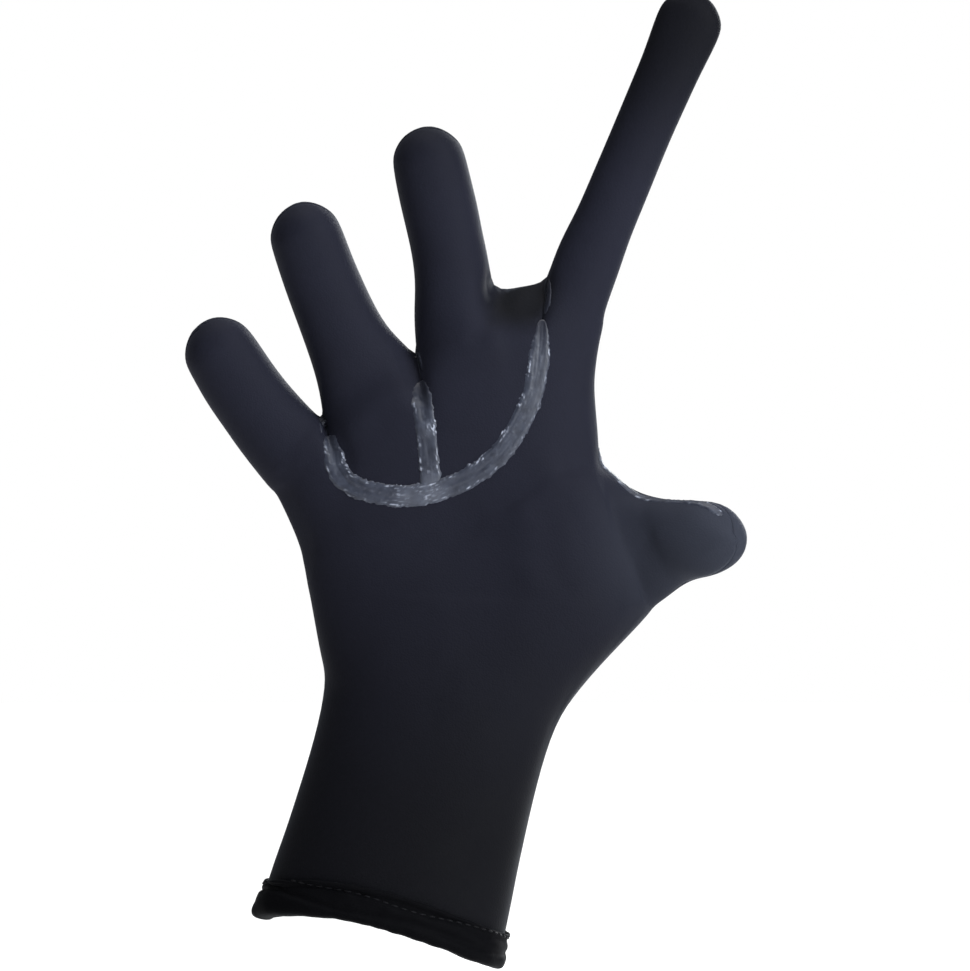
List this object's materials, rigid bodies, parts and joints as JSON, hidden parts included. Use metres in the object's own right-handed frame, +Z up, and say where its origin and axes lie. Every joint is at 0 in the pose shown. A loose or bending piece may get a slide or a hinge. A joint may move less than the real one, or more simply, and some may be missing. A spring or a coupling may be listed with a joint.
{
  "type": "diving glove",
  "caption": "Right-hand neoprene diving glove in worn shape, with set-in finger fronts, sealed seams and a hemmed cuff.",
  "frame": {"origin": "middle of the cuff's opening, where the forearm comes out", "axes": "+Z up towards the fingers, -Y out of the palm, +X towards the thumb; the forearm leans 15 degrees from -Z towards -X"},
  "size_m": [0.1817, 0.0628, 0.3178],
  "materials": {
    "neoprene": "matt black nylon-faced neoprene foam with a faint blue cast",
    "hem": "matt black neoprene folded into a sewn hem",
    "sealant": "grey brushed-on liquid rubber, semi-gloss and uneven"
  },
  "bodies": {
    "root": {"palm": "neoprene", "back_of_hand": "neoprene", "cuff_front": "neoprene", "cuff_back": "neoprene", "little_finger_front": "neoprene", "little_finger_back": "neoprene", "ring_finger_front": "neoprene", "ring_finger_back": "neoprene", "middle_finger_front": "neoprene", "middle_finger_back": "neoprene", "index_finger_front": "neoprene", "index_finger_back": "neoprene", "thumb_front": "neoprene", "thumb_back": "neoprene", "cuff_hem": "hem", "palm_seam_seal": "sealant", "finger_seam_seal": "sealant", "thumb_seam_seal": "sealant", "little_gap_seal": "sealant", "ring_gap_seal": "sealant", "middle_gap_seal": "sealant"}
  },
  "joints": []
}
